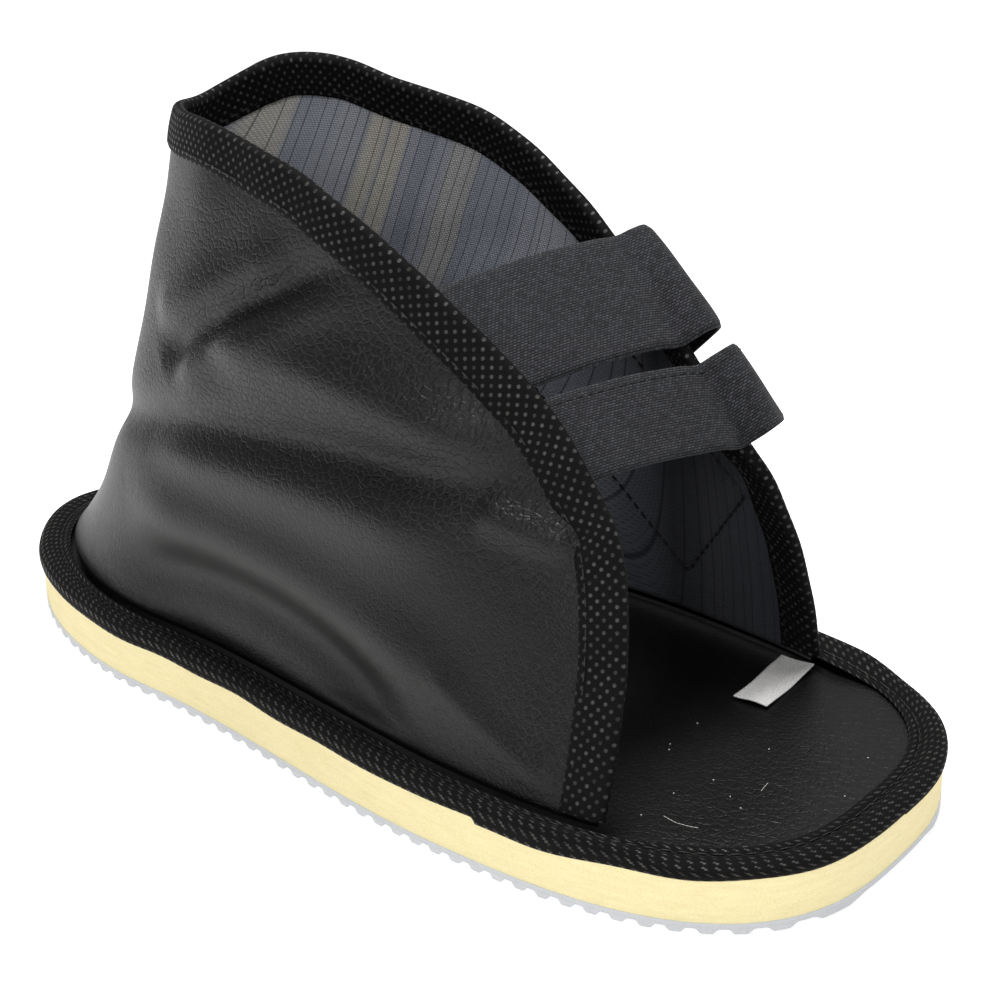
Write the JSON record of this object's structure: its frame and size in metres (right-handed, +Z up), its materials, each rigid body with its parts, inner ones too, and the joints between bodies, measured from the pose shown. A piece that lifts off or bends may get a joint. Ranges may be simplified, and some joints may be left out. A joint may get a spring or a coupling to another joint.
{
  "type": "post operative shoe",
  "caption": "Open-toed post operative shoe: flat foam sole, soft upper that wraps the heel and sides, bound edges and webbing straps over the instep.",
  "frame": {"origin": "on the floor, under the middle of the sole's length and width", "axes": "+X to the toe, +Y to the side where the straps fasten, +Z up"},
  "size_m": [0.2749, 0.1174, 0.1549],
  "materials": {
    "outsole": "matt near-white rubber sheet",
    "midsole": "pale cream closed-cell foam with cut sides",
    "insole": "black grained imitation leather",
    "upper": "black imitation leather outside, grey knitted lining inside",
    "rim_binding": "black dimpled non-woven tape",
    "sole_binding": "black dimpled non-woven tape",
    "strap_upper": "dark grey woven webbing",
    "strap_lower": "dark grey woven webbing",
    "loop_patch": "black brushed loop tape",
    "label_tab": "blank white woven tab"
  },
  "bodies": {
    "root": {"outsole": "outsole", "midsole": "midsole", "insole": "insole", "upper": "upper", "rim_binding": "rim_binding", "sole_binding": "sole_binding", "strap_upper": "strap_upper", "strap_lower": "strap_lower", "loop_patch": "loop_patch", "label_tab": "label_tab"}
  },
  "joints": []
}
